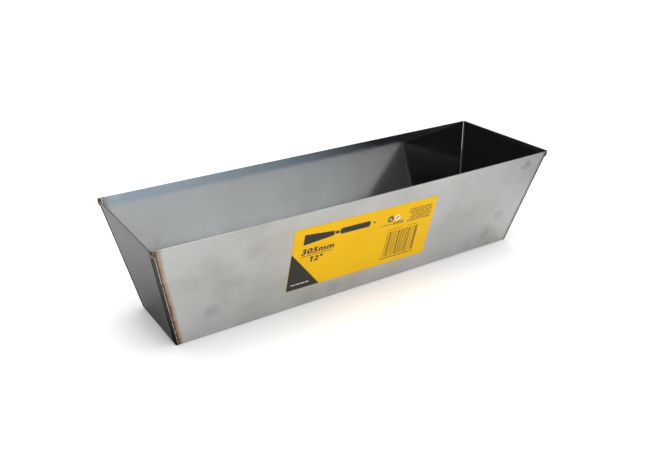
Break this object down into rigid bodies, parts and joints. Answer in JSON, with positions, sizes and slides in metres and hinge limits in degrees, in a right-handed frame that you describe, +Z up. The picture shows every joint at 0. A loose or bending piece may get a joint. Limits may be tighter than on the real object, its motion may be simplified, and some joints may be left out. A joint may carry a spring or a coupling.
{
  "type": "mud pan",
  "caption": "Flared stainless-steel trough that holds jointing compound for a broad taping knife, with folded long walls, welded end plates and a printed label.",
  "frame": {"origin": "centre of the flat underside that the pan rests on", "axes": "+X along the pan's length, +Z up out of the open top, and the labelled front wall faces -Y"},
  "size_m": [0.3436, 0.103, 0.0838],
  "materials": {
    "stainless_sheet": "cold-rolled mill finish, semi-bright, with handling smudges and heat tint beside the seams",
    "weld_metal": "rippled TIG bead with a straw and brown oxide tint",
    "label_film": "semi-gloss printed film, yellow with dark grey print"
  },
  "bodies": {
    "root": {"pan_body": "stainless_sheet", "left_end_plate": "stainless_sheet", "right_end_plate": "stainless_sheet", "left_front_weld": "weld_metal", "left_floor_weld": "weld_metal", "left_back_weld": "weld_metal", "right_front_weld": "weld_metal", "right_floor_weld": "weld_metal", "right_back_weld": "weld_metal", "left_front_tack": "weld_metal", "left_back_tack": "weld_metal", "right_front_tack": "weld_metal", "right_back_tack": "weld_metal", "label": "label_film"}
  },
  "joints": []
}
